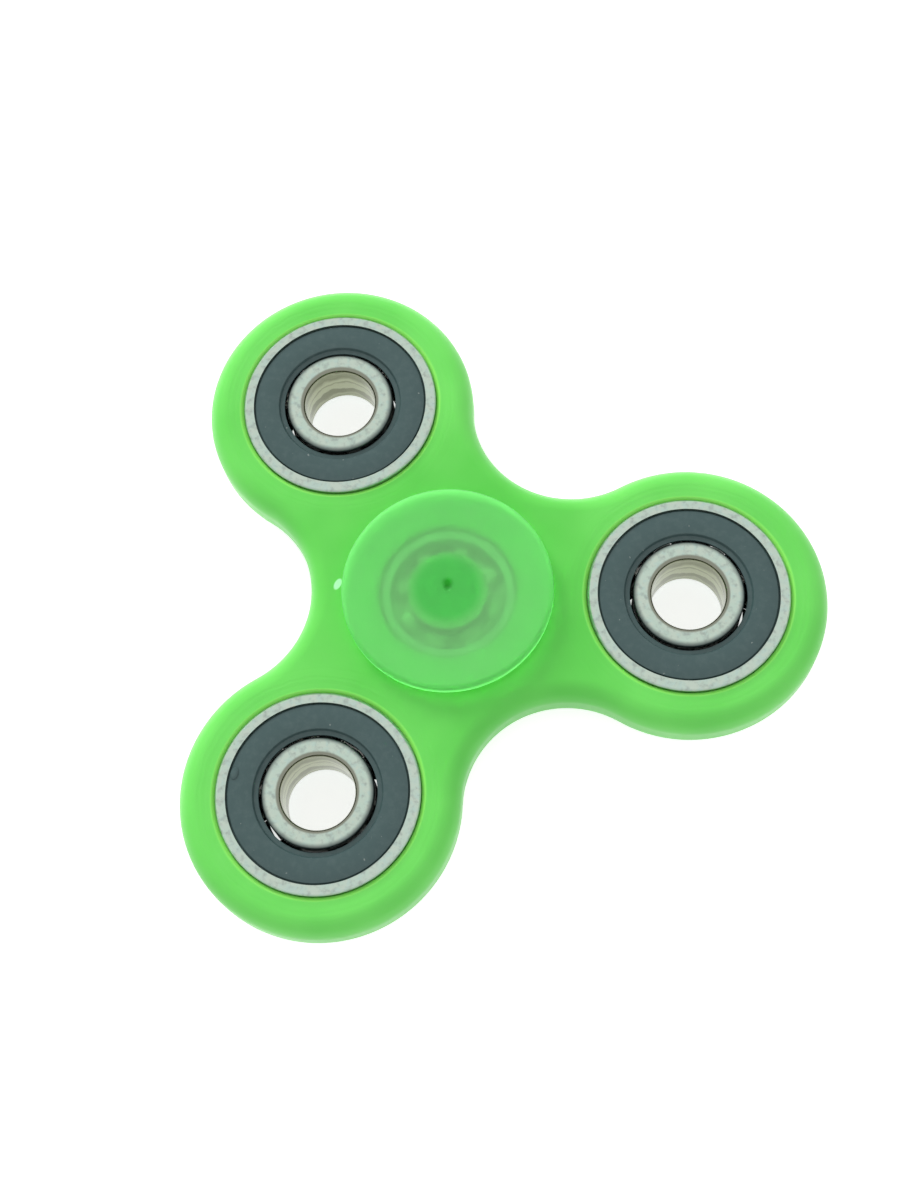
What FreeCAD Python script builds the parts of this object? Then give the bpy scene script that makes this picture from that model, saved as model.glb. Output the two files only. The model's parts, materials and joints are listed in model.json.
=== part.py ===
import FreeCAD, Part
import math
import os
import re
import Sketcher

# A three-lobe fidget spinner, in millimetres with +Z up. The origin is on the spin axis, half way
# through the body's thickness, and +X points to lobe 1. Every size below is a named cell of the
# sheet, and the sketches and features are bound to those cells.

LOBES = 3

SIZES = {
    # spinner body, one moulding
    "arm_radius": 26.2,
    "lobe_wall": 4.2,
    "valley_radius": 11.2,
    "body_thickness": 6.2,
    "edge_rounding": 2.2,
    "seat_chamfer": 0.42,
    "seat_chamfer_depth": 0.3,
    # lobe bearings, 8 x 22 x 7
    "lobe_bore_radius": 4.0,
    "lobe_ring_radius": 11.0,
    "lobe_width": 7.0,
    "lobe_ball_radius": 1.985,
    "lobe_balls": 7,
    "lobe_race_depth": 0.535,
    "lobe_edge_chamfer": 0.28,
    "lobe_bore_chamfer": 0.55,
    "lobe_land_rounding": 0.45,
    "lobe_cage_width": 1.8,
    "lobe_cage_thickness": 0.3,
    "lobe_rivet_radius": 0.3,
    "lobe_rivet_head_radius": 0.52,
    "lobe_rivet_head_height": 0.2,
    # hub bearing, open, 6 x 15 x 5
    "hub_bore_radius": 3.0,
    "hub_ring_radius": 7.5,
    "hub_width": 5.0,
    "hub_ball_radius": 1.25,
    "hub_balls": 8,
    "hub_race_depth": 0.3,
    "hub_edge_chamfer": 0.2,
    "hub_bore_chamfer": 0.3,
    "hub_land_rounding": 0.2,
    "hub_cage_width": 1.3,
    "hub_cage_thickness": 0.2,
    "hub_rivet_radius": 0.15,
    "hub_rivet_head_radius": 0.27,
    "hub_rivet_head_height": 0.12,
    # what both kinds of bearing share
    "race_conformity": 1.04,
    "race_gap": 0.02,
    "pocket_gap": 0.05,
    "rivet_gap": 0.02,
    # rubber seals of the lobe bearings
    "seal_thickness": 0.7,
    "seal_recess": 0.18,
    "seal_rim_land": 1.15,
    "seal_undercut": 0.25,
    "seal_ledge_ramp": 0.45,
    "seal_bead_height": 0.4,
    "seal_bead_gap": 0.02,
    "seal_rim_groove": 0.2,
    "seal_lip_width": 0.65,
    "seal_lip_height": 0.35,
    "seal_lip_slope": 0.15,
    "seal_lip_gap": 0.3,
    # finger caps
    "cap_radius": 11.6,
    "cap_height": 1.45,
    "cap_gap": 0.4,
    "cap_edge_rounding": 0.55,
    "cap_under_rounding": 0.2,
    "cap_rim_width": 1.3,
    "dish_depth": 0.5,
    "boss_step": 0.15,
    "boss_root_rounding": 0.3,
    "stem_gap": 0.2,
    "stem_chamfer": 0.3,
    "gate_radius": 0.4,
    "gate_depth": 0.15,
}

# How far the hub's balls stand round from +X, in degrees, and the same for each lobe's balls.
HUB_PHASE = -13.0
LOBE_PHASES = [9.0, 31.0, -17.0]

# The most of the body's thickness that the rounding of one edge may take.
FULLEST_ROUNDING = 0.45

# Lengths in mm and volumes in mm3 below this count as nothing.
NOTHING = 1e-6

document = FreeCAD.newDocument("FidgetSpinner")
sheet = document.addObject("Spreadsheet::Sheet", "Sizes")
sub_parts = []


def fill_sheet():
    for row, (name, size) in enumerate(SIZES.items(), start=1):
        sheet.set(f"A{row}", name)
        sheet.set(f"B{row}", str(size))
        sheet.setAlias(f"B{row}", name)
    document.recompute()


def cells(expression):
    """The expression with each size's name turned into its cell of the sheet."""
    return re.sub(r"[a-z][a-z_]*", lambda word: ("Sizes." if word[0] in SIZES else "") + word[0], expression)


def value(expression):
    return float(sheet.evalExpression(cells(expression)))


def bind(target, path, expression):
    target.setExpression(path, cells(expression))


# --- sketches -------------------------------------------------------------------------------------


def new_sketch(body, plane, name):
    sketch = body.newObject("Sketcher::SketchObject", name)
    feature = next(item for item in body.Origin.OriginFeatures if item.Role == plane)
    sketch.AttachmentSupport = [(feature, "")]
    sketch.MapMode = "FlatFace"
    return sketch


def bound_constraint(sketch, kind, *where, expression):
    index = sketch.addConstraint(Sketcher.Constraint(kind, *where, value(expression)))
    bind(sketch, f"Constraints[{index}]", expression)


def fix_point(sketch, shape, end, x, y):
    """Holds one point of a sketch at x, y. A zero lies on the sketch's own axis."""
    for axis, kind, place in ((-2, "DistanceX", x), (-1, "DistanceY", y)):
        if abs(value(place)) < NOTHING:
            sketch.addConstraint(Sketcher.Constraint("PointOnObject", shape, end, axis))
        else:
            bound_constraint(sketch, kind, -1, 1, shape, end, expression=place)


def add_circle(sketch, x, y, radius):
    centre = FreeCAD.Vector(value(x), value(y), 0)
    circle = sketch.addGeometry(Part.Circle(centre, FreeCAD.Vector(0, 0, 1), value(radius)))
    fix_point(sketch, circle, 3, x, y)
    bound_constraint(sketch, "Radius", circle, expression=radius)


def add_axis(sketch, x):
    """A construction line beside the sketch's vertical axis, for turning a profile about."""
    ends = [FreeCAD.Vector(value(x), height, 0) for height in (-1, 1)]
    line = sketch.addGeometry(Part.LineSegment(*ends), True)
    fix_point(sketch, line, 1, x, "-1")
    fix_point(sketch, line, 2, x, "1")


def arc_between(start, end, radius, turn):
    """The arc of that radius from start to end: turn is 1 counter-clockwise, -1 clockwise."""
    chord = end - start
    middle = (start + end) * 0.5
    side = FreeCAD.Vector(-chord.y, chord.x, 0).normalize()
    height = math.sqrt(max(radius ** 2 - (chord.Length / 2) ** 2, 0.0))
    centre = middle + side * (turn * height)
    first, last = (start, end) if turn > 0 else (end, start)
    angles = [math.atan2(point.y - centre.y, point.x - centre.x) for point in (first, last)]
    return Part.ArcOfCircle(Part.Circle(centre, FreeCAD.Vector(0, 0, 1), radius), *angles)


def add_profile(sketch, corners):
    """A closed profile through corners (x, y), each held to the sheet.

    A corner (x, y, radius, turn) starts an arc of that radius to the next corner.
    """
    points = [FreeCAD.Vector(value(corner[0]), value(corner[1]), 0) for corner in corners]
    edges = []
    for index, corner in enumerate(corners):
        start, end = points[index], points[(index + 1) % len(points)]
        if len(corner) == 2:
            edge = sketch.addGeometry(Part.LineSegment(start, end))
            edges.append((edge, 1, 2))
        else:
            edge = sketch.addGeometry(arc_between(start, end, value(corner[2]), corner[3]))
            edges.append((edge, 1, 2) if corner[3] > 0 else (edge, 2, 1))
    for index, (edge, first, last) in enumerate(edges):
        following, its_first, its_last = edges[(index + 1) % len(edges)]
        sketch.addConstraint(Sketcher.Constraint("Coincident", edge, last, following, its_first))
    for (edge, first, last), corner in zip(edges, corners):
        fix_point(sketch, edge, first, corner[0], corner[1])
        if len(corner) > 2:
            bound_constraint(sketch, "Radius", edge, expression=corner[2])


# --- features -------------------------------------------------------------------------------------


def new_body(label, x="0", y="0", turned="0"):
    """A sub-part of its own, placed at x, y and turned about Z."""
    body = document.addObject("PartDesign::Body", label)
    body.Label = label
    body.Placement.Rotation = FreeCAD.Rotation(FreeCAD.Vector(0, 0, 1), value(turned))
    bind(body, "Placement.Base.x", x)
    bind(body, "Placement.Base.y", y)
    sub_parts.append(body)
    return body


def finish_feature(body, feature, cuts=False):
    before = feature.BaseFeature.Shape.Volume if feature.BaseFeature else 0.0
    document.recompute()
    body.Tip = feature
    if cuts and feature.Shape.Volume > before - NOTHING:
        raise RuntimeError(f"{body.Label}.{feature.Name} cut nothing")
    return feature


def turned_feature(body, kind, name, corners, axis_at=None):
    """A Revolution or Groove of a profile about Z, or about a line beside Z."""
    sketch = new_sketch(body, "XZ_Plane", name + "Profile")
    add_profile(sketch, corners)
    if axis_at:
        add_axis(sketch, axis_at)
    document.recompute()
    feature = body.newObject(f"PartDesign::{kind}", name)
    feature.Profile = sketch
    feature.ReferenceAxis = (sketch, ["Axis0" if axis_at else "V_Axis"])
    feature.Angle = 360
    return finish_feature(body, feature, cuts=kind == "Groove")


def ring_groove(body, name, x, y, radius):
    """Cuts a round groove, whose section is a circle, all round the body's own Z axis."""
    sketch = new_sketch(body, "XZ_Plane", name + "Circle")
    add_circle(sketch, x, y, radius)
    document.recompute()
    feature = body.newObject("PartDesign::Groove", name)
    feature.Profile = sketch
    feature.ReferenceAxis = (sketch, ["V_Axis"])
    feature.Angle = 360
    return finish_feature(body, feature, cuts=True)


def round_bar(body, kind, name, plane, x, y, radius, length, out="0"):
    """A Pad or Pocket of a circle, half its length each way from a plane moved out along its normal."""
    sketch = new_sketch(body, plane, name + "Circle")
    add_circle(sketch, x, y, radius)
    bind(sketch, "AttachmentOffset.Base.z", out)
    document.recompute()
    feature = body.newObject(f"PartDesign::{kind}", name)
    feature.Profile = sketch
    feature.SideType = "Symmetric"
    bind(feature, "Length", length)
    return finish_feature(body, feature, cuts=kind == "Pocket")


def round_pattern(body, feature, count):
    """Repeats one feature evenly round the body's own Z axis."""
    pattern = body.newObject("PartDesign::PolarPattern", feature.Name + "Pattern")
    pattern.Originals = [feature]
    axis = next(item for item in body.Origin.OriginFeatures if item.Role == "Z_Axis")
    pattern.Axis = (axis, [""])
    pattern.Angle = 360
    bind(pattern, "Occurrences", count)
    return finish_feature(body, pattern)


def both_ways(upper):
    """A profile that is the same above and below: the upper corners, then their mirror images."""
    arcs_to = [[]] + [arc for x, y, *arc in upper[:-1]]
    mirrored = [(x, f"-({y})", *arc) for (x, y, *rest), arc in zip(upper, arcs_to)]
    return upper + mirrored[::-1]


# --- spinner body ---------------------------------------------------------------------------------


def body_outline(sketch):
    """Round lobes joined by hollow arcs, tangent all the way round."""
    half_step = 180 / LOBES
    lobe_radius = "lobe_ring_radius + lobe_wall"
    reach = f"({lobe_radius} + valley_radius)"
    valley_out = f"(arm_radius * cos({half_step}) + sqrt({reach}^2 - (arm_radius * sin({half_step}))^2))"
    lobe_half = math.pi - math.asin(value(f"{valley_out} * sin({half_step}) / {reach}"))
    valley_half = lobe_half - math.radians(half_step)
    arcs = []
    for index in range(LOBES):
        lobe_at, valley_at = 2 * half_step * index, 2 * half_step * (index + 0.5)
        lobe_arc = outline_arc(sketch, "arm_radius", lobe_at, lobe_radius, lobe_at, lobe_half)
        valley_arc = outline_arc(sketch, valley_out, valley_at, "valley_radius", valley_at + 180, valley_half)
        fix_point(sketch, lobe_arc, 3, f"arm_radius * cos({lobe_at})", f"arm_radius * sin({lobe_at})")
        arcs.append((lobe_arc, valley_arc))
    for index, (lobe_arc, valley_arc) in enumerate(arcs):
        next_lobe = arcs[(index + 1) % LOBES][0]
        sketch.addConstraint(Sketcher.Constraint("Tangent", lobe_arc, 2, valley_arc, 2))
        sketch.addConstraint(Sketcher.Constraint("Tangent", valley_arc, 1, next_lobe, 1))


def outline_arc(sketch, out, at, radius, facing, half_sweep):
    """An arc whose centre is out from the spin axis at an angle, swept evenly about the way it faces."""
    centre = FreeCAD.Vector(value(f"{out} * cos({at})"), value(f"{out} * sin({at})"), 0)
    circle = Part.Circle(centre, FreeCAD.Vector(0, 0, 1), value(radius))
    middle = math.radians(facing)
    arc = sketch.addGeometry(Part.ArcOfCircle(circle, middle - half_sweep, middle + half_sweep))
    bound_constraint(sketch, "Radius", arc, expression=radius)
    return arc


def bearing_seat(body, name, radius, axis_at=None):
    """A through seat with a chamfered mouth on each side."""
    out = f"{axis_at} + " if axis_at else ""
    mouth = f"{out}{radius} + seat_chamfer"
    half = "body_thickness / 2"
    corners = both_ways([
        (f"{out}{radius}", f"{half} - seat_chamfer_depth"),
        (mouth, half),
        (axis_at or "0", half),
    ])
    return turned_feature(body, "Groove", name, corners, axis_at)


def spinner_body():
    body = new_body("spinner_body")
    sketch = new_sketch(body, "XY_Plane", "Outline")
    body_outline(sketch)
    document.recompute()
    plate = body.newObject("PartDesign::Pad", "Plate")
    plate.Profile = sketch
    plate.SideType = "Symmetric"
    bind(plate, "Length", "body_thickness")
    finish_feature(body, plate)
    rounded = body.newObject("PartDesign::Fillet", "RoundedEdges")
    flats = [index for index, face in enumerate(plate.Shape.Faces, 1) if abs(face.normalAt(0, 0).z) > 0.9]
    rounded.Base = (plate, [f"Face{index}" for index in flats])
    bind(rounded, "Radius", f"min(edge_rounding; {FULLEST_ROUNDING} * body_thickness)")
    finish_feature(body, rounded)
    bearing_seat(body, "HubSeat", "hub_ring_radius")
    seat = bearing_seat(body, "LobeSeat", "lobe_ring_radius", axis_at="arm_radius")
    round_pattern(body, seat, str(LOBES))


# --- ball bearings --------------------------------------------------------------------------------


def pitch(kind):
    return f"({kind}_bore_radius + {kind}_ring_radius) / 2"


def inner_land(kind):
    return f"({pitch(kind)} - {kind}_ball_radius + {kind}_race_depth)"


def outer_land(kind):
    return f"({pitch(kind)} + {kind}_ball_radius - {kind}_race_depth)"


SEAL_LEDGE = "(lobe_width / 2 - seal_recess - seal_thickness)"
SEAL_MOUTH = "(lobe_ring_radius - seal_rim_land)"


def inner_ring(kind, label, **place):
    """The ring round the bore: a chamfered bore, rounded corners outside it and a ground raceway."""
    body = new_body(label, **place)
    half = f"{kind}_width / 2"
    rounding = f"{kind}_land_rounding"
    turned_feature(body, "Revolution", "Ring", both_ways([
        (f"{kind}_bore_radius", f"{half} - {kind}_bore_chamfer"),
        (f"{kind}_bore_radius + {kind}_bore_chamfer", half),
        (f"{inner_land(kind)} - {rounding}", half, rounding, -1),
        (inner_land(kind), f"{half} - {rounding}"),
    ]))
    race = f"{kind}_ball_radius * race_conformity"
    bottom = f"{pitch(kind)} - {kind}_ball_radius - race_gap"
    ring_groove(body, "Raceway", f"{bottom} + {race}", "0", race)


def outer_ring(kind, label, sealed, **place):
    """The pressed-in ring: a ground raceway and, on a sealed bearing, a stepped seat for each seal."""
    body = new_body(label, **place)
    half = f"{kind}_width / 2"
    if sealed:
        undercut = f"{SEAL_MOUTH} + seal_undercut"
        bead_top = f"{SEAL_LEDGE} + seal_bead_height"
        inside = [
            (outer_land(kind), f"{SEAL_LEDGE} - seal_ledge_ramp"),
            (f"{outer_land(kind)} + seal_ledge_ramp", SEAL_LEDGE),
            (undercut, SEAL_LEDGE),
            (undercut, bead_top),
            (SEAL_MOUTH, bead_top),
            (SEAL_MOUTH, half),
        ]
    else:
        inside = [
            (outer_land(kind), f"{half} - {kind}_edge_chamfer"),
            (f"{outer_land(kind)} + {kind}_edge_chamfer", half),
        ]
    turned_feature(body, "Revolution", "Ring", both_ways(inside + [
        (f"{kind}_ring_radius - {kind}_edge_chamfer", half),
        (f"{kind}_ring_radius", f"{half} - {kind}_edge_chamfer"),
    ]))
    race = f"{kind}_ball_radius * race_conformity"
    bottom = f"{pitch(kind)} + {kind}_ball_radius + race_gap"
    ring_groove(body, "Raceway", f"{bottom} - {race}", "0", race)


def ball_set(kind, label, **place):
    body = new_body(label, **place)
    ball = body.newObject("PartDesign::AdditiveSphere", "Ball")
    plane = next(item for item in body.Origin.OriginFeatures if item.Role == "XY_Plane")
    ball.AttachmentSupport = [(plane, "")]
    ball.MapMode = "FlatFace"
    bind(ball, "Radius", f"{kind}_ball_radius")
    bind(ball, "AttachmentOffset.Base.x", pitch(kind))
    finish_feature(body, ball)
    round_pattern(body, ball, f"{kind}_balls")


def cage_half(kind, label, side, **place):
    """Half of a pressed ribbon cage: a flat ring that arches over each ball. side is 1 up, -1 down."""
    body = new_body(label, **place)
    near = f"{pitch(kind)} - {kind}_cage_width / 2"
    far = f"{pitch(kind)} + {kind}_cage_width / 2"
    thick = f"{kind}_cage_thickness"
    hollow = f"{kind}_ball_radius + pocket_gap"
    arch = f"{hollow} + {thick}"
    turned_feature(body, "Revolution", "Ribbon", [
        (near, "0"), (far, "0"), (far, f"{side} * {thick}"), (near, f"{side} * {thick}")])
    drum_length, hollow_length = f"1.5 * {kind}_cage_width", f"2 * {kind}_cage_width"
    drum = round_bar(body, "Pad", "Arch", "YZ_Plane", "0", "0", arch, drum_length, pitch(kind))
    round_pattern(body, drum, f"{kind}_balls")
    pocket = round_bar(body, "Pocket", "Hollow", "YZ_Plane", "0", "0", hollow, hollow_length, pitch(kind))
    round_pattern(body, pocket, f"{kind}_balls")
    # the drums stand out past the ribbon and below it, so all but the ribbon's own width is trimmed off
    beyond, above, below = f"2 * {kind}_ring_radius", f"{side} * {kind}_width", f"-{side} * {kind}_width"
    turned_feature(body, "Groove", "Trim", [
        ("0", below), (beyond, below), (beyond, above), (far, above),
        (far, "0"), (near, "0"), (near, above), ("0", above)])
    web = f"180 / {kind}_balls"
    hole = round_bar(body, "Pocket", "RivetHole", "XY_Plane", f"{pitch(kind)} * cos({web})",
                     f"{pitch(kind)} * sin({web})", f"{kind}_rivet_radius + rivet_gap", f"{kind}_width")
    round_pattern(body, hole, f"{kind}_balls")


def cage_rivets(kind, label, turned="0", **place):
    """One rivet through the two halves between each pair of balls, with a head at both ends."""
    body = new_body(label, turned=f"{turned} + 180 / {kind}_balls", **place)
    shank = f"{pitch(kind)} + {kind}_rivet_radius"
    head = f"{pitch(kind)} + {kind}_rivet_head_radius"
    thick = f"{kind}_cage_thickness"
    tip = f"{thick} + {kind}_rivet_head_height"
    rivet = turned_feature(body, "Revolution", "Rivet", both_ways([
        (shank, thick), (head, thick), (head, tip), (pitch(kind), tip)]), axis_at=pitch(kind))
    round_pattern(body, rivet, f"{kind}_balls")


def seal(label, side, **place):
    """A moulded rubber seal: a bead snapped into the outer ring, a plateau and a lip near the inner ring."""
    body = new_body(label, **place)
    plateau = f"{side} * ({SEAL_LEDGE} + seal_thickness)"
    under = f"{side} * {SEAL_LEDGE}"
    bead_top = f"{side} * ({SEAL_LEDGE} + seal_bead_height - seal_bead_gap)"
    lip_top = f"{side} * ({SEAL_LEDGE} + seal_lip_height)"
    bead = f"{SEAL_MOUTH} + seal_undercut - seal_bead_gap"
    lip = f"{inner_land('lobe')} + seal_lip_gap"
    turned_feature(body, "Revolution", "Seal", [
        (lip, under),
        (bead, under),
        (bead, bead_top),
        (f"{SEAL_MOUTH} - seal_rim_groove", bead_top),
        (f"{SEAL_MOUTH} - seal_rim_groove", plateau),
        (f"{lip} + seal_lip_width", plateau),
        (f"{lip} + seal_lip_width - seal_lip_slope", lip_top),
        (lip, lip_top),
    ])


def hub_bearing():
    """The open bearing that the whole body spins on."""
    turned = str(HUB_PHASE)
    outer_ring("hub", "hub_bearing_outer_ring", sealed=False)
    inner_ring("hub", "hub_bearing_inner_ring")
    ball_set("hub", "hub_bearing_balls", turned=turned)
    cage_half("hub", "hub_bearing_cage_upper", 1, turned=turned)
    cage_half("hub", "hub_bearing_cage_lower", -1, turned=turned)
    cage_rivets("hub", "hub_bearing_rivets", turned=turned)


def lobe_bearing(number):
    """The sealed bearing pressed into one lobe."""
    angle = 360 / LOBES * (number - 1)
    place = {"x": f"arm_radius * cos({angle})", "y": f"arm_radius * sin({angle})"}
    turned = str(LOBE_PHASES[number - 1])
    name = f"lobe_{number}_bearing"
    outer_ring("lobe", f"{name}_outer_ring", sealed=True, **place)
    inner_ring("lobe", f"{name}_inner_ring", **place)
    ball_set("lobe", f"{name}_balls", turned=turned, **place)
    cage_half("lobe", f"{name}_cage_upper", 1, turned=turned, **place)
    cage_half("lobe", f"{name}_cage_lower", -1, turned=turned, **place)
    cage_rivets("lobe", f"{name}_rivets", turned=turned, **place)
    seal(f"{name}_seal_top", 1, **place)
    seal(f"{name}_seal_bottom", -1, **place)


# --- finger caps ----------------------------------------------------------------------------------


def finger_cap(label, side):
    """A dished disc, its boss down on the hub bearing's inner ring and its stem in the bore."""
    body = new_body(label)
    underside = "(body_thickness / 2 + cap_gap)"
    top = f"({underside} + cap_height)"
    boss = f"({inner_land('hub')} - boss_step)"
    seat = "hub_width / 2"
    dish = "(cap_radius - cap_rim_width)"
    dish_arc = f"({dish}^2 + dish_depth^2) / (2 * dish_depth)"
    corners = [
        ("0", "stem_gap / 2"),
        ("hub_bore_radius - stem_chamfer", "stem_gap / 2"),
        ("hub_bore_radius", "stem_gap / 2 + stem_chamfer"),
        ("hub_bore_radius", seat),
        (boss, seat),
        (boss, f"{underside} - boss_root_rounding", "boss_root_rounding", -1),
        (f"{boss} + boss_root_rounding", underside),
        ("cap_radius - cap_under_rounding", underside, "cap_under_rounding", 1),
        ("cap_radius", f"{underside} + cap_under_rounding"),
        ("cap_radius", f"{top} - cap_edge_rounding", "cap_edge_rounding", 1),
        ("cap_radius - cap_edge_rounding", top),
        (dish, top, dish_arc, -1),
        ("0", f"{top} - dish_depth"),
    ]
    turned_feature(body, "Revolution", "Cap", [
        (x, f"{side} * ({y})", *([arc[0], side * arc[1]] if arc else [])) for x, y, *arc in corners])
    pit = f"{side} * ({top} - dish_depth - gate_depth)"
    turned_feature(body, "Groove", "GateMark", [
        ("0", pit), ("gate_radius / 2", pit), ("gate_radius", f"{side} * {top}"), ("0", f"{side} * {top}")])


# --- the whole spinner ----------------------------------------------------------------------------


def check_model():
    document.recompute()
    for item in document.Objects:
        if {"Invalid", "Error"} & set(item.State):
            raise RuntimeError(f"{item.Name} failed: {item.State}")
    for body in sub_parts:
        if body.Shape.isNull() or not body.Shape.isValid() or not body.Shape.Solids:
            raise RuntimeError(f"{body.Label} has no valid solid")


fill_sheet()
spinner_body()
finger_cap("top_cap", 1)
finger_cap("bottom_cap", -1)
hub_bearing()
for lobe_number in range(1, LOBES + 1):
    lobe_bearing(lobe_number)
check_model()

os.makedirs("parts", exist_ok=True)
for sub_part in sub_parts:
    sub_part.Shape.exportStep(f"parts/{sub_part.Label}.step")
    print(sub_part.Label, len(sub_part.Shape.Solids), "solids", round(sub_part.Shape.Volume, 2), "mm3")
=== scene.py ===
import json
import math

import bmesh
import bpy
from mathutils import Matrix, Vector


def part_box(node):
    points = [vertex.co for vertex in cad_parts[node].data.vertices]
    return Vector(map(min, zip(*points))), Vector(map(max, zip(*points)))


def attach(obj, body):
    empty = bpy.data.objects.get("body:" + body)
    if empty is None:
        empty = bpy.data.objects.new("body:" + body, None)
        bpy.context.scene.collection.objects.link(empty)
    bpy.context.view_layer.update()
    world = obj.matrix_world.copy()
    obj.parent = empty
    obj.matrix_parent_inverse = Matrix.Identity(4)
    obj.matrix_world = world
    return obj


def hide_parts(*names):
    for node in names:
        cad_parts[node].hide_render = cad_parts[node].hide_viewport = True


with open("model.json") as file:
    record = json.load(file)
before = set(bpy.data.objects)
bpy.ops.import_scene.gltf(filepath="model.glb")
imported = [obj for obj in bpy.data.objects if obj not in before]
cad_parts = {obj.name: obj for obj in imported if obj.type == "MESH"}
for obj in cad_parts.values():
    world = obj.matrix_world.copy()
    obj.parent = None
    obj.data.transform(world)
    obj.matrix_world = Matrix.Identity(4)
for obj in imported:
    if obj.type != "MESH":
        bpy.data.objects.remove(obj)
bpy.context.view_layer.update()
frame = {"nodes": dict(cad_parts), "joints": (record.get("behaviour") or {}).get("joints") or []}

mm = 0.001
mergeWithin = 0.002 * mm
up = Vector((0, 0, 1))
lobeNumbers = (1, 2, 3)
lobeCentres = {n: Vector(next(j["pos_m"] for j in frame["joints"] if j["name"] == f"lobe_{n}_inner_spin"))
               for n in lobeNumbers}


# small helpers for meshes

def finishMesh(bm, name, smooth=True):
    bmesh.ops.remove_doubles(bm, verts=bm.verts, dist=mergeWithin)
    bmesh.ops.recalc_face_normals(bm, faces=bm.faces)
    mesh = bpy.data.meshes.new(name)
    bm.to_mesh(mesh)
    bm.free()
    if smooth:
        mesh.shade_smooth()
    piece = bpy.data.objects.new(name, mesh)
    bpy.context.scene.collection.objects.link(piece)
    return piece


def softenEdges(bm, width, segments=2, sharperThan=28):
    # rounds every edge that turns more than sharperThan degrees
    limit = math.radians(sharperThan)
    edges = [e for e in bm.edges if len(e.link_faces) == 2 and e.calc_face_angle() > limit]
    bmesh.ops.bevel(bm, geom=edges, offset=width, offset_type="OFFSET", affect="EDGES", segments=segments,
                    profile=0.5, material=-1, clamp_overlap=True)


def lathe(name, profile, centre=Vector(), steps=192, softening=0.05):
    # turns a closed profile of (radius, height) in millimetres about an upright axis through centre
    bm = bmesh.new()
    points = [bm.verts.new((centre.x + r * mm, centre.y, h * mm)) for r, h in profile]
    for a, b in zip(points, points[1:] + points[:1]):
        if a.co.x - centre.x > 1e-9 or b.co.x - centre.x > 1e-9:
            bm.edges.new((a, b))
    bmesh.ops.spin(bm, geom=bm.verts[:] + bm.edges[:], cent=(centre.x, centre.y, 0), axis=up, dvec=(0, 0, 0),
                   angle=2 * math.pi, steps=steps, use_merge=True, use_duplicate=False)
    bmesh.ops.remove_doubles(bm, verts=bm.verts, dist=mergeWithin)
    bmesh.ops.recalc_face_normals(bm, faces=bm.faces)
    if softening:
        softenEdges(bm, softening * mm)
    return finishMesh(bm, name)


def arcPoints(centre, radius, start, end, steps):
    # points of an arc in a profile, both ends included, angles in degrees
    return [(centre[0] + radius * math.cos(math.radians(start + (end - start) * i / steps)),
             centre[1] + radius * math.sin(math.radians(start + (end - start) * i / steps)))
            for i in range(steps + 1)]


def mirrored(profile, side):
    # side is 1 for above and -1 for below
    return [(r, h * side) for r, h in profile]


# shader maths: a wire is one output socket, and sums of wires add Math nodes

class Wire:
    def __init__(self, nodes, socket):
        self.nodes, self.socket = nodes, socket

    def maths(self, operation, *values):
        return self.nodes.node("Math", {"operation": operation}, dict(enumerate(values)))

    def __add__(self, other):
        return self.maths("ADD", self, other)

    def __sub__(self, other):
        return self.maths("SUBTRACT", self, other)

    def __rsub__(self, other):
        return self.maths("SUBTRACT", other, self)

    def __mul__(self, other):
        return self.maths("MULTIPLY", self, other)

    def __pow__(self, other):
        return self.maths("POWER", self, other)

    __radd__ = __add__
    __rmul__ = __mul__

    def smaller(self, other):
        return self.maths("MINIMUM", self, other)

    def larger(self, other):
        return self.maths("MAXIMUM", self, other)


class Nodes:
    # a cleared node tree, and the one way in which nodes are added to it

    def __init__(self, owner):
        owner.use_nodes = True
        self.tree = owner.node_tree
        self.tree.nodes.clear()

    def node(self, kind, settings=None, inputs=None, output=0):
        made = self.tree.nodes.new("ShaderNode" + kind)
        for key, value in (settings or {}).items():
            setattr(made, key, value)
        for key, value in (inputs or {}).items():
            if isinstance(value, Wire):
                self.tree.links.new(value.socket, made.inputs[key])
            else:
                made.inputs[key].default_value = value
        return Wire(self, made.outputs[output]) if made.outputs else made

    def seenDirectly(self):
        # 1 where the camera sees the surface itself, in a mirror or through something clear
        kinds = ("Is Camera Ray", "Is Glossy Ray", "Is Transmission Ray")
        camera, glossy, through = (self.node("LightPath", output=kind) for kind in kinds)
        return camera.larger(glossy).larger(through)


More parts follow.
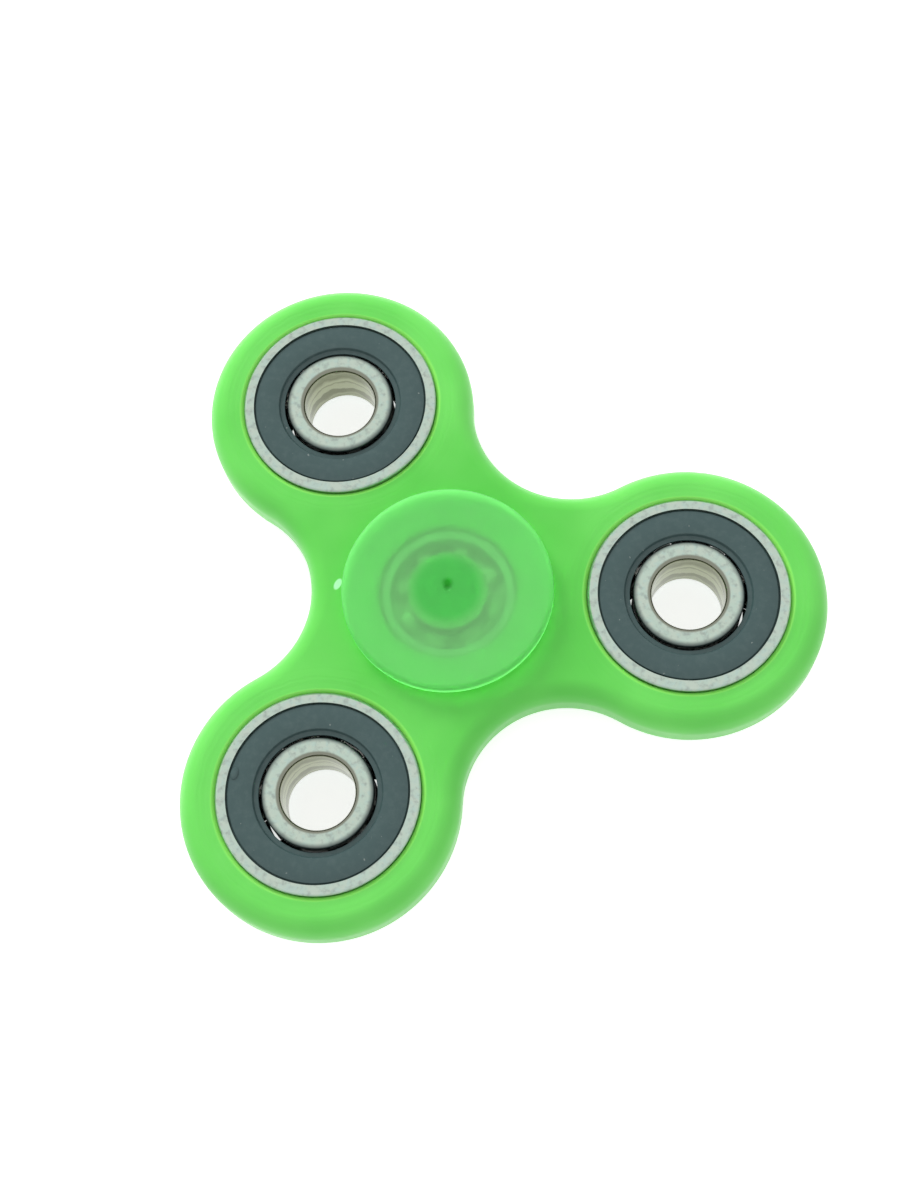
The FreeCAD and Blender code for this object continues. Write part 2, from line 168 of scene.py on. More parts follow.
class Finish(Nodes):
    # one material: a principled shader and whatever feeds it

    def __init__(self, name, **values):
        self.material = bpy.data.materials.new(name)
        super().__init__(self.material)
        self.surface = self.node("BsdfPrincipled")
        self.output = self.node("OutputMaterial", {}, {"Surface": self.surface})
        for socket, value in values.items():
            self.set(socket.replace("_", " "), value)

    def set(self, socket, value):
        entry = self.surface.socket.node.inputs[socket]
        if isinstance(value, Wire):
            self.tree.links.new(value.socket, entry)
        else:
            entry.default_value = value

    def place(self, centre=Vector()):
        # millimetres from a point of the piece
        where = self.node("TexCoord", output="Object")
        return self.node("Mapping", {}, {"Vector": where, "Location": [-c / mm for c in centre],
                                         "Scale": [1 / mm] * 3})

    def noise(self, place, scale, detail=3.0, roughness=0.5):
        return self.node("TexNoise", {}, {
            "Vector": place, "Scale": scale, "Detail": detail, "Roughness": roughness})

    def stripes(self, along, detail):
        # noise that changes in one direction only
        return self.node("TexNoise", {"noise_dimensions": "1D"}, {
            "W": along, "Detail": detail, "Scale": 1.0})

    def fade(self, value, low, high, outLow=0.0, outHigh=1.0):
        return self.node("MapRange", {"interpolation_type": "SMOOTHSTEP"}, {
            "Value": value, "From Min": low, "From Max": high, "To Min": outLow, "To Max": outHigh})

    def mix(self, factor, first, second):
        return self.node("Mix", {"data_type": "RGBA"}, {0: factor, 6: first, 7: second}, output=2)

    def length(self, place):
        return self.node("VectorMath", {"operation": "LENGTH"}, {0: place}, output="Value")

    def radius(self, place):
        x, y = (self.node("SeparateXYZ", {}, {0: place}, output=axis) for axis in (0, 1))
        return (x * x + y * y) ** 0.5

    def height(self, place):
        # above or below the middle of the body, whichever side the point is on
        z = self.node("SeparateXYZ", {}, {0: place}, output=2)
        return z.maths("ABSOLUTE", z)

    def bump(self, height, strength, distance):
        self.set("Normal", self.node("Bump", {}, {
            "Height": height, "Strength": strength, "Distance": distance * mm}))


def rgb(r, g, b):
    return (r, g, b, 1.0)


# green plastic of the body

greenPlastic = {
    "colour": rgb(0.164, 0.725, 0.112), "deepColour": rgb(0.095, 0.590, 0.062),
    "cloudScale": 0.09, "cloudRange": (0.35, 0.75), "cloudStrength": 0.5,
    "hubShadeStart": 12.0, "hubShadeEnd": 25.0, "hubShadeStrength": 0.55,
    "seatLightColour": rgb(0.27, 0.90, 0.13), "seatRadius": 11.0, "seatBand": 0.45, "seatFade": (-0.1, 0.2),
    "glow": 0.35, "glowDepth": 1.6, "glowReach": (0.7, 1.0, 0.45),
    "fineScale": 6.0, "smearScale": 0.6,
    "roughness": 0.34, "fineRoughness": 0.10, "smearRoughness": 0.14,
    "fineBump": 0.6, "smearBump": 2.0, "bumpStrength": 0.12, "bumpHeight": 0.05,
    "flowBump": 9.0, "flowPitch": 1.6, "flowStart": 0.6, "flowFull": 1.0, "flowFading": 1.6, "flowEnd": 3.2,
    "glintColour": rgb(0.50, 0.96, 0.56), "glintPlace": Vector((-12.2, 0.8, 3.1)) * mm,
    "glintHalf": (0.38, 0.70, 0.5), "glintTurn": 24.0, "glintEdge": (0.75, 1.15),
}


def makeGreenPlastic():
    c = greenPlastic
    f = Finish("greenPlastic", Subsurface_Weight=c["glow"], Subsurface_Radius=c["glowReach"],
               Subsurface_Scale=c["glowDepth"] * mm, IOR=1.5)
    place = f.place()
    fromLobe = [f.radius(f.place(lobeCentres[n])) for n in lobeNumbers]
    near = fromLobe[0].smaller(fromLobe[1]).smaller(fromLobe[2])
    seatEnd = c["seatRadius"] + c["seatBand"]
    fadeStart, fadeEnd = (seatEnd + limit for limit in c["seatFade"])
    # painted light: a brighter yellow-green band round each bearing seat, where the seat's mouth catches
    # light
    seat = f.fade(near, fadeStart, fadeEnd, 1.0, 0.0)
    # painted shade: the body's green darkens towards the hub, where the cap shades it
    hubShade = f.fade(f.radius(place), c["hubShadeStart"], c["hubShadeEnd"], c["hubShadeStrength"], 0.0)
    cloud = f.fade(f.noise(place, c["cloudScale"], 2.0), *c["cloudRange"], 0.0, c["cloudStrength"])
    body = f.mix(cloud + hubShade, c["colour"], c["deepColour"])
    body = f.mix(seat, body, c["seatLightColour"])
    # painted highlight: a small pale spot on the body left of the cap, where a lamp's glint falls
    turned = f.node("VectorRotate", {"rotation_type": "Z_AXIS"}, {
        "Vector": f.place(c["glintPlace"]), "Angle": math.radians(c["glintTurn"])})
    sized = f.node("Mapping", {}, {"Vector": turned, "Scale": [1 / half for half in c["glintHalf"]]})
    glint = f.fade(f.length(sized), *c["glintEdge"], 1.0, 0.0)
    f.set("Base Color", f.mix(glint, body, c["glintColour"]))
    fine = f.noise(place, c["fineScale"], 4.0)
    smear = f.noise(place, c["smearScale"], 3.0)
    flow = f.stripes(near * c["flowPitch"] + smear, 1.0)
    flow = flow * f.fade(near, seatEnd + c["flowStart"], seatEnd + c["flowFull"])
    flow = flow * f.fade(near, seatEnd + c["flowFading"], seatEnd + c["flowEnd"], 1.0, 0.0)
    smoothest = c["roughness"] - (c["fineRoughness"] + c["smearRoughness"]) / 2
    f.set("Roughness", fine * c["fineRoughness"] + smear * c["smearRoughness"] + smoothest)
    relief = fine * c["fineBump"] + smear * c["smearBump"] + flow * c["flowBump"]
    f.bump(relief, c["bumpStrength"], c["bumpHeight"])
    return f.material


# frosted plastic of the finger caps, and the denser boss and stem below it

capDisc = {
    "radius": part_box("top_cap")[1].x / mm, "top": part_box("top_cap")[1].z / mm,
    "edgeRounding": 0.55, "underRounding": 0.2, "rimWidth": 1.3, "dishDepth": 0.5,
    "gateRadius": 0.4, "gateDepth": 0.15,
    "gateMouth": 1.1, "gateFloor": 0.6,
    "height": 1.45, "bossRadius": 4.15, "bossFoot": 2.5, "rootRounding": 0.3,
    "stemRadius": 3.0, "stemPlay": 0.03, "stemFoot": 0.1, "stemChamfer": 0.3,
    "discSteps": 160, "stemSteps": 96, "dishSteps": 40, "softening": 0.03, "join": 0.01,
}

frostedPlastic = {
    "colour": rgb(0.48, 0.965, 0.47), "cloud": rgb(0.43, 0.945, 0.43), "cloudScale": 0.35,
    "coreColour": rgb(0.26, 0.88, 0.30), "coreInside": 1.2, "coreOutside": 0.3,
    "rimColour": rgb(0.36, 0.78, 0.36), "rimGlow": rgb(0.10, 0.34, 0.10), "rimFrom": 1.4, "rimTo": 0.8,
    "rimEdge": 0.05,
    "gateColour": rgb(0.05, 0.55, 0.05), "gatePlace": Vector((0.0, 0.62, 0.0)) * mm,
    "gateInside": 0.4, "gateOutside": 2.1, "pitStrength": 0.45,
    "clearness": 0.80, "bend": 1.25,
    "roughness": 0.53, "grainScale": 9.0, "grainRoughness": 0.10, "shoulderRoughness": 0.20,
    "bumpStrength": 0.05, "bumpHeight": 0.02,
}

stemPlastic = {
    "colour": rgb(0.03, 0.58, 0.05), "cloud": rgb(0.035, 0.50, 0.06),
    "cloudScale": 0.8, "cloudRange": (0.3, 0.7),
    "rimColour": rgb(0.14, 0.52, 0.14), "rimInside": 1.1, "rimOutside": 0.1,
    "glow": 0.4, "glowDepth": 1.0, "glowReach": (0.5, 1.0, 0.5), "smoothest": 0.4, "cloudRoughness": 0.2,
}


def makeFrostedPlastic():
    c = frostedPlastic
    f = Finish("frostedPlastic", Transmission_Weight=c["clearness"], IOR=c["bend"])
    place = f.place()
    radius = f.radius(place)
    body = f.mix(f.noise(place, c["cloudScale"], 2.0), c["colour"], c["cloud"])
    boss = capDisc["bossRadius"]
    core = f.fade(radius, boss - c["coreInside"], boss + c["coreOutside"], 1.0, 0.0)
    top, rounding = capDisc["top"], capDisc["edgeRounding"]
    wall = f.fade(f.height(place), top - c["rimFrom"] * rounding, top - c["rimTo"] * rounding, 1.0, 0.0)
    shoulder = f.fade(radius, capDisc["radius"] - rounding, capDisc["radius"] - c["rimEdge"])
    fromGate = f.radius(f.place(c["gatePlace"]))
    gateRadius = capDisc["gateRadius"]
    gate = f.fade(fromGate, gateRadius * c["gateInside"], gateRadius * c["gateOutside"], 1.0, 0.0)
    gate = gate.larger(f.fade(radius, 0.0, gateRadius, c["pitStrength"], 0.0))
    # painted shade: the rounded shoulder of the cap takes the darker rim colour, a shade line where the edge
    # begins to round
    body = f.mix(shoulder, f.mix(core, body, c["coreColour"]), c["rimColour"])
    f.set("Base Color", f.mix(gate, body, c["gateColour"]))
    # painted light: the side wall below the shoulder glows by emission, for the bright band along the cap's
    # edge
    f.set("Emission Color", f.mix(shoulder * wall, rgb(0, 0, 0), c["rimGlow"]))
    f.set("Emission Strength", 1.0)
    grain = f.noise(place, c["grainScale"], 5.0, 0.6)
    smoothest = c["roughness"] - c["grainRoughness"] / 2
    f.set("Roughness", grain * c["grainRoughness"] + shoulder * c["shoulderRoughness"] + smoothest)
    f.bump(grain, c["bumpStrength"], c["bumpHeight"])
    return f.material


def makeStemPlastic():
    c = stemPlastic
    f = Finish("stemPlastic", Subsurface_Weight=c["glow"], Subsurface_Radius=c["glowReach"],
               Subsurface_Scale=c["glowDepth"] * mm)
    place = f.place()
    cloud = f.noise(place, c["cloudScale"], 2.0)
    stem = f.mix(f.fade(cloud, *c["cloudRange"]), c["colour"], c["cloud"])
    boss = capDisc["bossRadius"]
    rim = f.fade(f.radius(place), boss - c["rimInside"], boss + c["rimOutside"])
    f.set("Base Color", f.mix(rim, stem, c["rimColour"]))
    f.set("Roughness", cloud * c["cloudRoughness"] + c["smoothest"])
    return f.material


# ground steel of the bearing rings, with the bore's bands and painted shade at the edges

groundSteel = {
    "colour": rgb(0.50, 0.62, 0.535), "warm": rgb(0.53, 0.62, 0.535), "cool": rgb(0.48, 0.61, 0.545),
    "darkSpeck": rgb(0.35, 0.41, 0.37), "edgeShade": rgb(0.07, 0.085, 0.085),
    "warmScale": 0.9, "warmRange": (0.38, 0.62), "coolScale": 1.5, "coolRange": (0.50, 0.66),
    "speckScale": 1.4, "speckRange": (0.46, 0.76),
    "landShade": 0.9, "landShadeFrom": 1.5, "landShadeTo": 0.1, "landShadeEnd": (0.1, 0.4),
    "rimShadeWidth": 0.25,
    "boreColour": rgb(0.20, 0.215, 0.14), "borePale": rgb(0.38, 0.41, 0.28),
    "boreEdgeShade": rgb(0.24, 0.25, 0.20),
    "bandPitch": 0.8, "bandWave": 1.6, "waveScale": 0.5, "bandRange": (0.38, 0.62),
    "wallRange": (0.04, 0.16), "boreRange": (0.32, 0.58),
    "turningPitch": 9.0, "roughness": 0.34,
    "turningRoughness": 0.10, "warmRoughness": 0.18, "boreRoughness": 0.20,
    "turningBump": 0.5, "speckBump": 0.6, "bumpStrength": 0.10, "bumpHeight": 0.02,
}

lobeSteel = {"boreRadius": 4.0, "landRadius": 6.05, "ringRadius": 11.0, "rounding": 0.45, "rimShade": 0.35}
hubSteel = {"boreRadius": 3.0, "landRadius": 4.3, "ringRadius": 7.5, "rounding": 0.2, "rimShade": 0.0}


def makeGroundSteel(name, centre, ring):
    c = groundSteel
    f = Finish(name, Metallic=1.0)
    place = f.place(centre)
    radius = f.radius(place)
    warm = f.noise(place, c["warmScale"], 3.0)
    speck = f.noise(place, c["speckScale"], 5.0, 0.6)
    face = f.mix(f.fade(warm, *c["warmRange"]), c["colour"], c["warm"])
    face = f.mix(f.fade(f.noise(place, c["coolScale"], 2.0), *c["coolRange"]), face, c["cool"])
    face = f.mix(f.fade(speck, *c["speckRange"]), face, c["darkSpeck"])
    # painted shade: the rounded outer corner of the land and the outer edge of the ring are darkened towards
    # edgeShade
    land = ring["landRadius"]
    shadeFrom, shadeTo = (land - c[limit] * ring["rounding"] for limit in ("landShadeFrom", "landShadeTo"))
    corner = f.fade(radius, shadeFrom, shadeTo, 0.0, c["landShade"])
    fadeStart, fadeEnd = (land + limit for limit in c["landShadeEnd"])
    corner = corner * f.fade(radius, fadeStart, fadeEnd, 1.0, 0.0)
    rim = f.fade(radius, ring["ringRadius"] - c["rimShadeWidth"], ring["ringRadius"], 0.0, ring["rimShade"])
    face = f.mix(corner + rim, face, c["edgeShade"])
    height = f.node("SeparateXYZ", {}, {0: place}, output=2)
    bands = f.stripes(height * c["bandPitch"] + f.noise(place, c["waveScale"], 2.0) * c["bandWave"], 1.0)
    wall = f.mix(f.fade(bands, *c["bandRange"]), c["boreColour"], c["borePale"])
    # painted shade: the rounded mouth of the bore takes a darker colour
    wallStart, wallEnd = (ring["boreRadius"] + limit for limit in c["wallRange"])
    wall = f.mix(f.fade(radius, wallStart, wallEnd), wall, c["boreEdgeShade"])
    boreStart, boreEnd = (ring["boreRadius"] + limit for limit in c["boreRange"])
    bore = f.fade(radius, boreStart, boreEnd, 1.0, 0.0)
    f.set("Base Color", f.mix(bore, face, wall))
    turning = f.stripes(radius * c["turningPitch"], 3.0)
    smoothest = c["roughness"] - (c["turningRoughness"] + c["warmRoughness"]) / 2
    rough = turning * c["turningRoughness"] + warm * c["warmRoughness"] + smoothest
    f.set("Roughness", rough + (c["boreRoughness"] - rough) * bore)
    f.bump(turning * c["turningBump"] + speck * c["speckBump"], c["bumpStrength"], c["bumpHeight"])
    return f.material


# rubber of the seals

sealRubber = {
    "colour": rgb(0.042, 0.082, 0.081), "scuff": rgb(0.060, 0.102, 0.100), "dust": rgb(0.19, 0.23, 0.22),
    "scuffScale": 1.3, "scuffRange": (0.40, 0.80), "dustScale": 1.7, "dustRange": (0.76, 0.81),
    "smoothest": 0.38, "scuffRoughness": 0.2, "grainScale": 14.0, "bumpStrength": 0.12, "bumpHeight": 0.02,
}


def makeSealRubber():
    c = sealRubber
    f = Finish("sealRubber", IOR=1.5)
    place = f.place()
    scuff = f.noise(place, c["scuffScale"], 5.0, 0.65)
    dust = f.noise(place, c["dustScale"], 1.0)
    rubber = f.mix(f.fade(scuff, *c["scuffRange"]), c["colour"], c["scuff"])
    f.set("Base Color", f.mix(f.fade(dust, *c["dustRange"]), rubber, c["dust"]))
    f.set("Roughness", scuff * c["scuffRoughness"] + c["smoothest"])
    f.bump(f.noise(place, c["grainScale"], 4.0, 0.6), c["bumpStrength"], c["bumpHeight"])
    return f.material


# bright steel of the balls and pressed steel of the cages

ballFinish = {"colour": rgb(0.80, 0.82, 0.80), "smoothest": 0.06, "stainScale": 2.0}
cageFinish = {"colour": rgb(0.62, 0.62, 0.58), "smoothest": 0.26, "stainScale": 3.0}
stained = {
    "darkening": 0.72, "range": (0.4, 0.8), "roughness": 0.12, "bumpStrength": 0.08, "bumpHeight": 0.02,
}


def makePlainSteel(name, c):
    f = Finish(name, Metallic=1.0)
    stain = f.noise(f.place(), c["stainScale"], 3.0)
    darker = rgb(*[channel * stained["darkening"] for channel in c["colour"][:3]])
    f.set("Base Color", f.mix(f.fade(stain, *stained["range"]), c["colour"], darker))
    f.set("Roughness", stain * stained["roughness"] + c["smoothest"])
    f.bump(stain, stained["bumpStrength"], stained["bumpHeight"])
    return f.material


plasticGreen = makeGreenPlastic()
plasticFrosted = makeFrostedPlastic()
plasticStem = makeStemPlastic()
rubberSeal = makeSealRubber()
steelLobe = {n: makeGroundSteel(f"groundSteel{n}", lobeCentres[n], lobeSteel) for n in lobeNumbers}
steelHub = makeGroundSteel("groundSteelHub", Vector(), hubSteel)
steelBall = makePlainSteel("ballSteel", ballFinish)
steelCage = makePlainSteel("cageSteel", cageFinish)
print("finishes made")


def wear(piece, material, slot, body, *nodes):
    # gives a piece its finish, the body it rides on and the nodes it stands for
    piece.data.materials.clear()
    piece.data.materials.append(material)
    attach(piece, body)
    if nodes:
        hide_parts(*nodes)
    return piece


# spinner body

bodyPlate = {
    "valleyRadius": 11.2, "edgeRounding": 2.2, "roundingSteps": 12, "degreesPerStep": 2.5,
    "seatPlay": 0.03, "mouth": 0.42, "mouthDepth": 0.3, "hubSeatRadius": 7.5, "hubMouth": 0.3,
    "seatSteps": 160, "cutAbove": 0.3, "softening": 0.07, "softenOver": 30.0, "closeWithin": 0.005,
}


def cutAway(piece, cutters):
    # cuts the seats out, softens their edges and keeps the result as the piece's mesh
    for cutter in cutters:
        cut = piece.modifiers.new("seat", "BOOLEAN")
        cut.operation, cut.solver, cut.object = "DIFFERENCE", "EXACT", cutter
    soften = piece.modifiers.new("soften", "BEVEL")
    soften.limit_method, soften.angle_limit = "ANGLE", math.radians(bodyPlate["softenOver"])
    soften.width, soften.segments, soften.profile = bodyPlate["softening"] * mm, 2, 0.5
    weigh = piece.modifiers.new("weigh", "WEIGHTED_NORMAL")
    weigh.keep_sharp = False
    graph = bpy.context.evaluated_depsgraph_get()
    mesh = bpy.data.meshes.new_from_object(piece.evaluated_get(graph))
    piece.modifiers.clear()
    piece.data = mesh
    for cutter in cutters:
        bpy.data.objects.remove(cutter)
    return piece


def makeSpinnerBody():
    # a point swept round lobes and valleys in turn draws the outline, which is raised and rounded
    c = bodyPlate
    low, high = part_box("spinner_body")
    arm = lobeCentres[1].x
    lobeRadius = high.x - arm
    valleyRadius = c["valleyRadius"] * mm
    reach = lobeRadius + valleyRadius
    valleyOut = arm / 2 + math.sqrt(reach ** 2 - 0.75 * arm ** 2)
    lobeSweep = 2 * (math.pi - math.asin(valleyOut * math.sin(math.radians(60)) / reach))
    valleySweep = lobeSweep - math.radians(120)
    stepAngle = math.radians(c["degreesPerStep"])
    bm = bmesh.new()
    start = lobeCentres[1] + Matrix.Rotation(-lobeSweep / 2, 3, "Z") @ Vector((lobeRadius, 0, 0))
    tip = bm.verts.new((start.x, start.y, low.z))
    for n in lobeNumbers:
        lobe = lobeCentres[n]
        valley = Matrix.Rotation(math.radians(120 * n - 60), 3, "Z") @ Vector((valleyOut, 0, 0))
        for centre, sweep in ((lobe, lobeSweep), (valley, -valleySweep)):
            turned = bmesh.ops.spin(bm, geom=[tip], cent=(centre.x, centre.y, 0), axis=up, dvec=(0, 0, 0),
                                    angle=sweep, steps=round(abs(sweep) / stepAngle), use_merge=False)
            tip = next(g for g in turned["geom_last"] if isinstance(g, bmesh.types.BMVert))
    bmesh.ops.remove_doubles(bm, verts=bm.verts, dist=c["closeWithin"] * mm)
    bmesh.ops.contextual_create(bm, geom=bm.edges[:])
    raised = bmesh.ops.extrude_face_region(bm, geom=bm.faces[:])
    lifted = [g for g in raised["geom"] if isinstance(g, bmesh.types.BMVert)]
    bmesh.ops.translate(bm, vec=(0, 0, high.z - low.z), verts=lifted)
    bmesh.ops.recalc_face_normals(bm, faces=bm.faces)
    rims = [e for e in bm.edges if abs(e.verts[0].co.z - e.verts[1].co.z) < 1e-7]
    bmesh.ops.bevel(bm, geom=rims, offset=c["edgeRounding"] * mm, offset_type="OFFSET", affect="EDGES",
                    segments=c["roundingSteps"], profile=0.5, material=-1, clamp_overlap=True)
    plate = finishMesh(bm, "spinnerBody")
    half = high.z / mm
    ringRadius = (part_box("lobe_1_bearing_outer_ring")[1].x - arm) / mm
    seats = [(f"lobeSeat{n}", lobeCentres[n], ringRadius, c["mouth"]) for n in lobeNumbers]
    seats.append(("hubSeat", Vector(), c["hubSeatRadius"], c["hubMouth"]))
    cutters = []
    for name, centre, seatRadius, mouth in seats:
        wall, top = seatRadius + c["seatPlay"], half + c["cutAbove"]
        edge = wall + mouth
        upper = [(wall, half - c["mouthDepth"]), (edge, half), (edge + c["cutAbove"], top), (0, top)]
        profile = upper + mirrored(reversed(upper), -1)
        cutters.append(lathe(name, profile, centre, steps=c["seatSteps"], softening=0))
    return wear(cutAway(plate, cutters), plasticGreen, "green_plastic", "rotor", "spinner_body")


makeSpinnerBody()
print("spinner body made")

# finger caps

def makeCap(name, node, side):
    # a clear disc with its denser boss and stem below it
    c = capDisc
    low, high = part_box(node)
    radius, top = high.x / mm, max(high.z, -low.z) / mm
    under = top - c["height"]
    dish = radius - c["rimWidth"]
    dishArc = (dish ** 2 + c["dishDepth"] ** 2) / (2 * c["dishDepth"])
    edge, lip = c["edgeRounding"], c["underRounding"]
    profile = [(0, under)] + arcPoints((radius - lip, under + lip), lip, 270, 360, 5)
    profile += arcPoints((radius - edge, top - edge), edge, 0, 90, 10)
    sweep = math.degrees(math.asin(dish / dishArc))
    floor, gate = top - c["dishDepth"], c["gateRadius"]
    hollow = arcPoints((0, floor + dishArc), dishArc, 270 + sweep, 270, c["dishSteps"])
    profile += [point for point in hollow if point[0] > gate * c["gateMouth"]]
    pitRadius, pitFloor = gate * c["gateFloor"], floor - c["gateDepth"]
    profile += [(gate, floor), (pitRadius, pitFloor), (0, pitFloor)]
    disc = lathe(name, mirrored(profile, side), steps=c["discSteps"], softening=c["softening"])
    wear(disc, plasticFrosted, "frosted_plastic", "finger_hub", node)
    stem, root, foot = c["stemRadius"] - c["stemPlay"], c["rootRounding"], c["bossFoot"] + c["join"]
    roof, end, chamfer = under - c["join"], c["stemFoot"], c["stemChamfer"]
    profile = [(0, end), (stem - chamfer, end), (stem, end + chamfer), (stem, foot),
               (c["bossRadius"], foot)]
    profile += arcPoints((c["bossRadius"] + root, roof - root), root, 180, 90, 5)
    profile += [(0, roof)]
    boss = lathe(name + "Stem", mirrored(profile, side), steps=c["stemSteps"], softening=c["softening"])
    wear(boss, plasticStem, "frosted_plastic", "finger_hub", node)


makeCap("topCap", "top_cap", 1)
makeCap("bottomCap", "bottom_cap", -1)
print("caps made")

# lobe bearings

lobeRing = {
    "outerRadius": 11.0, "halfWidth": 3.5, "edgeChamfer": 0.28, "mouthRadius": 9.85, "undercut": 0.25,
    "ledgeHeight": 2.62, "ledge": 0.7, "landRadius": 8.95, "beadHeight": 0.4,
    "boreRadius": 4.0, "boreRounding": 0.55, "innerRadius": 6.05, "landRounding": 0.45,
    "raceRadius": 2.064, "racePlay": 0.02, "raceSteps": 16, "pitchRadius": 7.5, "ballRadius": 1.985,
    "outerSoftening": 0.04, "innerSoftening": 0.06,
}

lobeSeal = {
    "lipRadius": 6.35, "lipTop": 2.97, "lipWidth": 0.65, "lipSlope": 0.15,
    "plateau": 3.32, "rimGroove": 9.65, "beadRadius": 10.08, "beadTop": 3.0, "foot": 2.62, "softening": 0.05,
    "nibLobe": 3, "nibRadius": 9.22, "nibAngle": 168.0, "nibHalf": (0.44, 0.72, 0.175),
}


def makeOuterRing(n):
    c = lobeRing
    undercut = c["mouthRadius"] + c["undercut"]
    shoulder = c["ledgeHeight"] - (undercut - c["ledge"] - c["landRadius"])
    raceCentre = c["pitchRadius"] + c["ballRadius"] + c["racePlay"] - c["raceRadius"]
    sweep = math.degrees(math.acos((c["landRadius"] - raceCentre) / c["raceRadius"]))
    shelf, groove = c["ledgeHeight"], c["ledgeHeight"] + c["beadHeight"]
    upper = [(c["landRadius"], shoulder), (undercut - c["ledge"], shelf), (undercut, shelf),
             (undercut, groove), (c["mouthRadius"], groove), (c["mouthRadius"], c["halfWidth"]),
             (c["outerRadius"] - c["edgeChamfer"], c["halfWidth"]),
             (c["outerRadius"], c["halfWidth"] - c["edgeChamfer"])]
    race = arcPoints((raceCentre, 0), c["raceRadius"], -sweep, sweep, c["raceSteps"])
    profile = race + upper + mirrored(reversed(upper), -1)
    ring = lathe(f"lobe{n}OuterRing", profile, lobeCentres[n], softening=c["outerSoftening"])
    return wear(ring, steelLobe[n], "ground_steel", "rotor", f"lobe_{n}_bearing_outer_ring")


def makeInnerRing(n):
    c = lobeRing
    raceCentre = c["pitchRadius"] - c["ballRadius"] - c["racePlay"] + c["raceRadius"]
    sweep = math.degrees(math.acos((raceCentre - c["innerRadius"]) / c["raceRadius"]))
    land, bore = c["landRounding"], c["boreRounding"]
    upper = arcPoints((c["innerRadius"] - land, c["halfWidth"] - land), land, 0, 90, 6)
    upper += arcPoints((c["boreRadius"] + bore, c["halfWidth"] - bore), bore, 90, 180, 8)
    race = arcPoints((raceCentre, 0), c["raceRadius"], 180 + sweep, 180 - sweep, c["raceSteps"])
    profile = race + upper + mirrored(reversed(upper), -1)
    ring = lathe(f"lobe{n}InnerRing", profile, lobeCentres[n], softening=c["innerSoftening"])
    return wear(ring, steelLobe[n], "ground_steel", f"lobe_{n}_inner", f"lobe_{n}_bearing_inner_ring")


def addNib(seal, centre):
    # the small pip that the moulding left near the seal's rim
    c = lobeSeal
    bm = bmesh.new()
    bm.from_mesh(seal.data)
    pip = bmesh.ops.create_uvsphere(bm, u_segments=24, v_segments=12, radius=mm)["verts"]
    bmesh.ops.scale(bm, vec=c["nibHalf"], verts=pip)
    bmesh.ops.translate(bm, vec=(c["nibRadius"] * mm, 0, c["plateau"] * mm), verts=pip)
    turn = Matrix.Rotation(math.radians(c["nibAngle"]), 3, "Z")
    bmesh.ops.rotate(bm, cent=(0, 0, 0), matrix=turn, verts=pip)
    bmesh.ops.translate(bm, vec=centre * Vector((1, 1, 0)), verts=pip)
    for face in {face for vert in pip for face in vert.link_faces}:
        face.smooth = True
    bm.to_mesh(seal.data)
    bm.free()


def makeSeal(n, place, side):
    c = lobeSeal
    lip, brow = c["lipRadius"], c["lipRadius"] + c["lipWidth"]
    profile = [(lip, c["foot"]), (c["beadRadius"], c["foot"]), (c["beadRadius"], c["beadTop"]),
               (c["rimGroove"], c["beadTop"]), (c["rimGroove"], c["plateau"]), (brow, c["plateau"]),
               (brow - c["lipSlope"], c["lipTop"]), (lip, c["lipTop"])]
    name = f"lobe{n}Seal{place.capitalize()}"
    seal = lathe(name, mirrored(profile, side), lobeCentres[n], softening=c["softening"])
    if n == c["nibLobe"] and side > 0:
        addNib(seal, lobeCentres[n])
    return wear(seal, rubberSeal, "seal_rubber", "rotor", f"lobe_{n}_bearing_seal_{place}")


for n in lobeNumbers:
    makeOuterRing(n)
    makeInnerRing(n)
    makeSeal(n, "top", 1)
    makeSeal(n, "bottom", -1)
print("lobe bearings made")

# the pieces that keep their solid shape get their finish

for name, node in frame["nodes"].items():
    if name.endswith("_balls"):
        finish = steelBall
    elif "_cage_" in name or name.endswith("_rivets"):
        finish = steelCage
    elif name.startswith("hub_bearing"):
        finish = steelHub
    else:
        continue
    node.data.materials.clear()
    node.data.materials.append(finish)
print("inner pieces finished")

# floor, light and camera

studio = {
    "floorColour": rgb(0.90, 0.91, 0.90), "floorGlow": 0.67, "floorReach": 3.0, "floorGap": 0.01,
    "worldStrength": 0.78, "keyPower": 7.0, "keySize": 0.42, "keyPlace": (-0.50, 0.74, 0.40),
    "cameraPlace": (13.35, -63.74, 184.96), "lens": 52.88,
    "cameraRight": (0.9976, 0.0315, -0.0610), "cameraUp": (-0.0098, 0.9449, 0.3271),
    "cameraBack": (0.0679, -0.3257, 0.9430),
}


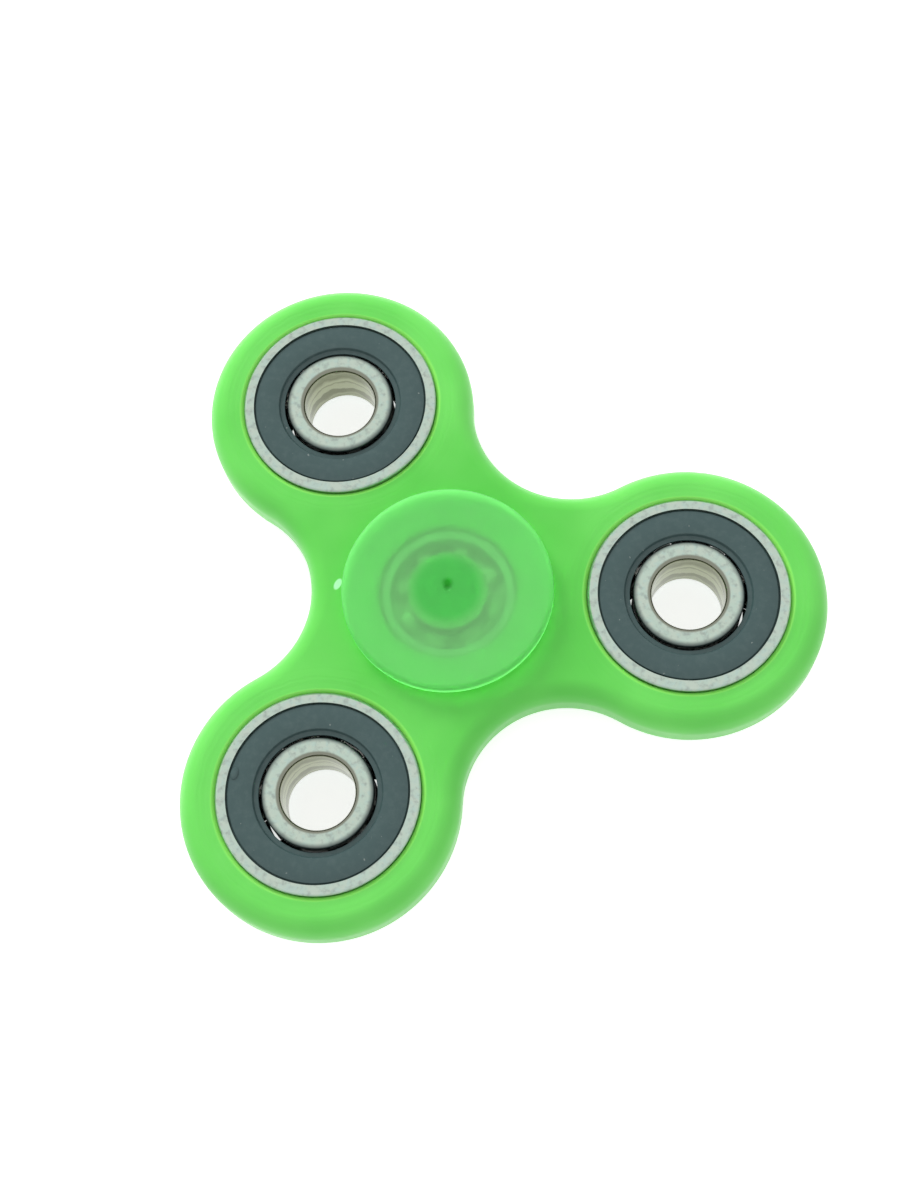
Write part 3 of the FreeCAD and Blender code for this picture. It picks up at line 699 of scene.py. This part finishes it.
def makeFloor():
    bm = bmesh.new()
    bmesh.ops.create_grid(bm, x_segments=1, y_segments=1, size=studio["floorReach"])
    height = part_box("bottom_cap")[0].z - studio["floorGap"] * mm
    bmesh.ops.translate(bm, vec=(0, 0, height), verts=bm.verts)
    floor = finishMesh(bm, "floor", smooth=False)
    f = Finish("floorPaper", Roughness=0.9, Base_Color=studio["floorColour"])
    f.set("Specular IOR Level", 0.1)
    strength = f.seenDirectly() * studio["floorGlow"]
    glow = f.node("Emission", {}, {"Color": rgb(1, 1, 1), "Strength": strength})
    both = f.node("AddShader", {}, {0: f.surface, 1: glow})
    f.tree.links.new(both.socket, f.output.inputs["Surface"])
    floor.data.materials.append(f.material)


def makeWorld():
    world = bpy.data.worlds.new("softRoom")
    n = Nodes(world)
    shade = n.node("Background", {}, {"Color": rgb(1, 1, 1), "Strength": studio["worldStrength"]})
    white = n.node("Background", {}, {"Color": rgb(1, 1, 1), "Strength": 1.0})
    room = n.node("MixShader", {}, {0: n.seenDirectly(), 1: shade, 2: white})
    n.node("OutputWorld", {}, {"Surface": room})
    bpy.context.scene.world = world


def makeKeyLight():
    lamp = bpy.data.lights.new("keyLight", "AREA")
    lamp.shape, lamp.size, lamp.energy = "DISK", studio["keySize"], studio["keyPower"]
    holder = bpy.data.objects.new("keyLight", lamp)
    holder.location = studio["keyPlace"]
    holder.rotation_euler = (-Vector(studio["keyPlace"])).to_track_quat("-Z", "Y").to_euler()
    holder.visible_glossy = False  # soft light, with no glare on the flat faces from the front
    bpy.context.scene.collection.objects.link(holder)


def makeCamera():
    lens = bpy.data.cameras.new("camera")
    lens.lens, lens.sensor_width, lens.clip_start = studio["lens"], 36.0, 0.005
    holder = bpy.data.objects.new("camera", lens)
    axes = Matrix([studio["cameraRight"], studio["cameraUp"], studio["cameraBack"]]).transposed()
    holder.matrix_world = Matrix.Translation(Vector(studio["cameraPlace"]) * mm) @ axes.to_4x4()
    bpy.context.scene.collection.objects.link(holder)
    bpy.context.scene.camera = holder


makeFloor()
makeWorld()
makeKeyLight()
makeCamera()
bpy.context.scene.view_settings.view_transform = "Standard"
print("studio made")
